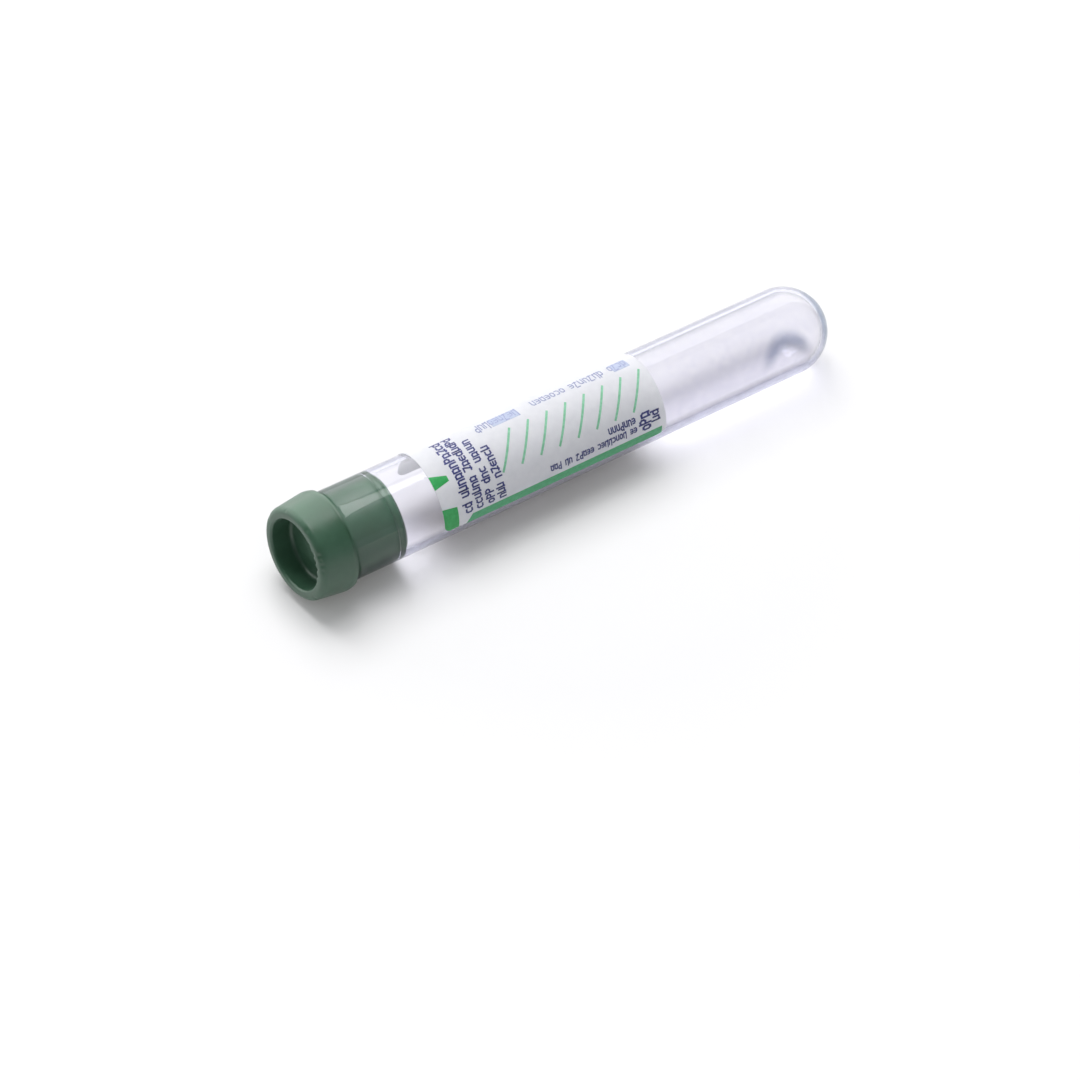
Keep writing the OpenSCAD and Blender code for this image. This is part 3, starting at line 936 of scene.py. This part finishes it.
# %% Lay out the small print
RING = [(-0.1, 0.2), (0.1, 0.2), (0.22, 0.06), (0.22, -0.28), (0.1, -0.42), (-0.1, -0.42),
        (-0.22, -0.28), (-0.22, 0.06), (-0.1, 0.2)]
ARCH = [(-0.22, -0.5), (-0.22, 0.2), (0.08, 0.2), (0.22, 0.05), (0.22, -0.5)]
CUP = [(-0.22, 0.28), (-0.22, -0.28), (-0.08, -0.42), (0.22, -0.42), (0.22, 0.28)]
HOOK = [(0.2, 0.2), (-0.08, 0.2), (-0.22, 0.05), (-0.22, -0.28), (-0.08, -0.42), (0.2, -0.42)]
HIGH_LOOP = [(-0.22, 0.42), (0.08, 0.42), (0.22, 0.28), (0.22, 0.1), (0.08, -0.04), (-0.22, -0.04)]
BEND = [(-0.2, 0.42), (0.22, 0.42), (0.22, 0.25), (-0.05, -0.5)]
LEFT_STEM, RIGHT_STEM = [(-0.22, -0.5), (-0.22, 0.5)], [(0.22, -0.5), (0.22, 0.5)]
MIDDLE_BAR, LOW_BAR = [(-0.22, -0.1), (0.22, -0.1)], [(-0.22, -0.42), (0.22, -0.42)]
MARK_SHAPES = [[RING], [ARCH], [CUP], [HOOK, MIDDLE_BAR], [LEFT_STEM, HIGH_LOOP],
               [RIGHT_STEM, RING], [BEND, LOW_BAR], [ARCH, LOW_BAR], [LEFT_STEM, CUP], [HOOK]]
# In steps along a line: the width of the square that a mark is drawn in, and a word's gap.
SHAPE_WIDTH = 1.42
WORD_GAP = 0.9
UP_AND_OVER = math.pi
TOWARDS_STOPPER = -math.pi / 2

# A line is the marks in each of its words, its height in mm and its clock angle, the step and
# the size of its marks in mm, and the way it reads.
BOLD_LINES = [
    ([2, 11], 21.0, 85, 1.07, 1.7, UP_AND_OVER),
    ([6, 8], 23.15, 85, 1.0, 1.55, UP_AND_OVER),
    ([3, 3, 5], 25.4, 85, 0.98, 1.5, UP_AND_OVER),
    ([3, 6], 27.6, 85, 1.0, 1.5, UP_AND_OVER),
    ([2, 8, 5, 2, 3], 55.1, 77.5, 0.75, 1.3, TOWARDS_STOPPER),
    ([7], 55.1, 65, 0.8, 1.35, TOWARDS_STOPPER),
    ([3], 56.8, 84, 1.2, 2.2, UP_AND_OVER),
    ([2], 59.0, 77, 1.1, 1.6, UP_AND_OVER),
]
FINE_LINES = [([7, 7], 54.3, -12.0, 0.98, 1.9, TOWARDS_STOPPER),
              ([9], 36.9, -12.0, 0.95, 2.1, TOWARDS_STOPPER),
              ([4], 59.0, -12.0, 0.9, 2.0, TOWARDS_STOPPER)]


def set_lines(lines):
    """Centres, sizes and turns of the marks of some lines, in flat label space."""
    marks = []
    for words, height, clock_angle, step, cap, reading in lines:
        cursor = 0.0
        for letters in words:
            for _ in range(letters):
                along = (cursor + 0.5) * step * MM
                centre = (round_length(clock_angle) + along * math.cos(reading),
                          height * MM + along * math.sin(reading))
                marks.append((centre, (SHAPE_WIDTH * step * MM, cap * MM), reading))
                cursor += 1
            cursor += WORD_GAP
    return marks


def marks_mesh(name, marks):
    """A mesh of loose points, one for each mark, that carries each mark's size and turn."""
    mesh = bpy.data.meshes.new(name)
    mesh.from_pydata([(x, y, 0) for (x, y), _, _ in marks], [], [])
    sizes = mesh.attributes.new("mark_size", "FLOAT_VECTOR", "POINT")
    turns = mesh.attributes.new("mark_turn", "FLOAT_VECTOR", "POINT")
    for number, (_, (wide, tall), reading) in enumerate(marks):
        sizes.data[number].vector = (wide, tall, 1)
        turns.data[number].vector = (0, 0, reading)
    return mesh


bold = set_lines(BOLD_LINES)
fine = set_lines(FINE_LINES)
print("small print:", len(bold), "bold marks and", len(fine), "fine marks")

# %% [markdown]
# The node tree below builds each mark from small blocks, one for each straight of its strokes,
# and puts one mark on each point. A mark is one unit wide and tall, and scaling by the point's
# own size makes it as wide and as tall as its line needs. Each block has a few lengths, so it
# bends with the paper.

# %% Small print tree
tree, given, inputs = print_tree("small_print", {
    "Places": "Geometry", "Seed": "Int", "Stroke weight": "Float", "Ink height": "Float",
    "Ink": "Material"})


def stroke_block(start, end):
    """A block along one straight of a stroke, as thick as the stroke weight."""
    length = maths(tree, "ADD", math.dist(start, end), given["Stroke weight"])
    size = add(tree, "ShaderNodeCombineXYZ", links={
        "X": length, "Y": given["Stroke weight"], "Z": given["Ink height"]})
    block = add(tree, "GeometryNodeMeshCube", values={"Vertices X": 4},
                links={"Size": size.outputs[0]})
    slope = math.atan2(end[1] - start[1], end[0] - start[0])
    middle = ((start[0] + end[0]) / 2, (start[1] + end[1]) / 2, 0)
    return add(tree, "GeometryNodeTransform", (),
               {"Translation": middle, "Rotation": (0, 0, slope)},
               {"Geometry": block.outputs[0]}).outputs[0]


# Links are made last shape first, because a join lists its newest link first.
every_shape = add(tree, "GeometryNodeJoinGeometry")
for strokes in reversed(MARK_SHAPES):
    shape = add(tree, "GeometryNodeJoinGeometry")
    for stroke in strokes:
        for start, end in zip(stroke, stroke[1:]):
            tree.links.new(stroke_block(start, end), shape.inputs[0])
    as_one = add(tree, "GeometryNodeGeometryToInstance", links={0: shape.outputs[0]})
    tree.links.new(as_one.outputs[0], every_shape.inputs[0])
pick = add(tree, "FunctionNodeRandomValue", {"data_type": "INT"}, {
    4: 0, 5: len(MARK_SHAPES) - 1}, {"Seed": given["Seed"]})
size, reading = (add(tree, "GeometryNodeInputNamedAttribute", {"data_type": "FLOAT_VECTOR"},
                     {"Name": name}).outputs[0] for name in ("mark_size", "mark_turn"))
marks = add(tree, "GeometryNodeInstanceOnPoints", values={"Pick Instance": True}, links={
    "Points": given["Places"], "Instance": every_shape.outputs[0],
    "Instance Index": pick.outputs[2], "Scale": size, "Rotation": reading})
real = add(tree, "GeometryNodeRealizeInstances", links={0: marks.outputs[0]})
lift = add(tree, "GeometryNodeTransform", values={
    "Translation": (0, 0, INK_HEIGHT / 2 - INK_SINK)}, links={"Geometry": real.outputs[0]})
wrap_and_ink(tree, lift.outputs[0], given["Ink"])

for name, marks_of_line, weight, seed, ink in (("bold_small_print", bold, 0.19, 3, blue_ink),
                                               ("fine_small_print", fine, 0.14, 5, stamp_ink)):
    small_print = printed(name, tree, {
        inputs["Seed"]: seed, inputs["Stroke weight"]: weight, inputs["Ink height"]: INK_HEIGHT,
        inputs["Ink"]: ink}, marks_mesh(name + "_places", marks_of_line), ink)
    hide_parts("dark_print")
    print(name, "has", len(small_print.data.polygons), "faces")

# %% [markdown]
# ## Stamped boxes
# Two words of the stamped line stand on pale boxes of the same ink, printed as a fine screen.
# A box is thinner than the marks on it, so the marks lie on top.

# %% Stamped boxes
BOXES = [(31.4, 36.9), (56.0, 59.2)]
BOX_CLOCK = FINE_LINES[0][2]
BOX_WIDTH = 2.3 * MM
BOX_INK = 0.008 * MM

work = bmesh.new()
box_turn = math.degrees(BOX_WIDTH / LABEL_R)
for low, high in BOXES:
    wrapped_sheet(work, BOX_CLOCK - box_turn / 2, BOX_CLOCK + box_turn / 2,
                  lambda clock_angle: (low * MM, high * MM),
                  LABEL_R - INK_SINK, LABEL_R + BOX_INK, even_columns(1))
boxes = smooth_object("stamped_boxes", work, "tube")
boxes.data.materials.append(box_ink)
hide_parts("dark_print")
print("stamped boxes:", len(BOXES), "with", len(boxes.data.polygons), "faces")

# %% [markdown]
# ## Dried additive
# The additive was sprayed on the inside and dried to a clear film over the lower part of the
# tube. It is almost invisible. Near the bottom a faint grey arc, the upper part of a ring, is
# painted on the film as shade: it stands in for the shadow under the bottom, seen through the
# glass. The film is turned as a thin shell just inside the bore. It casts no shadow, so lamp
# light has fewer clear surfaces to cross.

# %% Additive film
FILM_GAP = 0.02 * MM
FILM_THICKNESS = 0.02 * MM
FILM_FROM = 40 * MM
FILM_IOR = 1.04
FILM_TINTS = [(0.4, "#FFFFFF"), (0.8, "#FAFAFD")]
DROP_CLOUD = 1.2 * MM
FILM_SEGMENTS = 128
# The painted arc of shade: its centre, as height, clock angle and distance, its radius and its
# soft half width.
SHADE_ARC_PLACE = (87.55 * MM, 94, 5.31 * MM)
SHADE_ARC_R = 4.6 * MM
SHADE_ARC_SOFTNESS = 1.9 * MM
SHADE_ARC_TINT = "#C2C7D4"
# The painted arc of shade fades in between these heights over the table.
SHADE_ARC_ABOVE = (8 * MM, 11.5 * MM)

film_out = BORE_R - FILM_GAP
film_in = film_out - FILM_THICKNESS
outline = arc((0, BOTTOM_CENTRE), film_out, 90, 0, 30)
outline[0] = (0, BOTTOM_CENTRE + film_out)
outline += straight((film_out, BOTTOM_CENTRE), (film_out, FILM_FROM), 12)
outline += [(film_out, FILM_FROM), (film_in, FILM_FROM)]
outline += straight((film_in, FILM_FROM), (film_in, BOTTOM_CENTRE), 12)
outline += arc((0, BOTTOM_CENTRE), film_in, 0, 90, 30)
outline[-1] = (0, BOTTOM_CENTRE + film_in)
film = smooth_object("dried_additive", turn_outline(outline, FILM_SEGMENTS), "tube")
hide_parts("additive_film")

material, tree, place = new_material("dried_spray_film")
drops = noise(tree, place, DROP_CLOUD, 3.0)
# Painted shade: a soft grey arc darkens the film's tint near the bottom.
from_shade_arc_centre = add(tree, "ShaderNodeVectorMath", {"operation": "DISTANCE"}, {1: at(*SHADE_ARC_PLACE)},
                  {0: place}).outputs["Value"]
from_shade_arc = maths(tree, "ABSOLUTE", maths(tree, "SUBTRACT", from_shade_arc_centre, SHADE_ARC_R))
shade_arc = mapped(tree, from_shade_arc, (SHADE_ARC_SOFTNESS, 0.0), curve="SMOOTHSTEP")
height = add(tree, "ShaderNodeSeparateXYZ", links={0: place}).outputs["Z"]
shade_arc_upper = mapped(tree, height, SHADE_ARC_ABOVE, curve="SMOOTHSTEP")
tint = tinted(tree, ramp(tree, drops, FILM_TINTS), maths(tree, "MULTIPLY", shade_arc, shade_arc_upper), SHADE_ARC_TINT)
body = add(tree, "ShaderNodeBsdfPrincipled",
           values={"IOR": FILM_IOR, "Transmission Weight": 1.0},
           links={"Base Color": tint, "Roughness": mapped(tree, drops, (0.5, 0.8), (0.0, 0.06))})
add(tree, "ShaderNodeOutputMaterial", links={"Surface": body.outputs[0]})
film.data.materials.append(material)
film.visible_shadow = False
print("film:", len(film.data.polygons), "faces")

# %% [markdown]
# ## Size of the dressed tube
# The dressed tube should fill the same box as the imported model. The box round it is printed
# in millimetres.

# %% Size of the dressed tube
low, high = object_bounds()
print("visual box in mm:", [round((b - a) / MM, 2) for a, b in zip(low, high)])
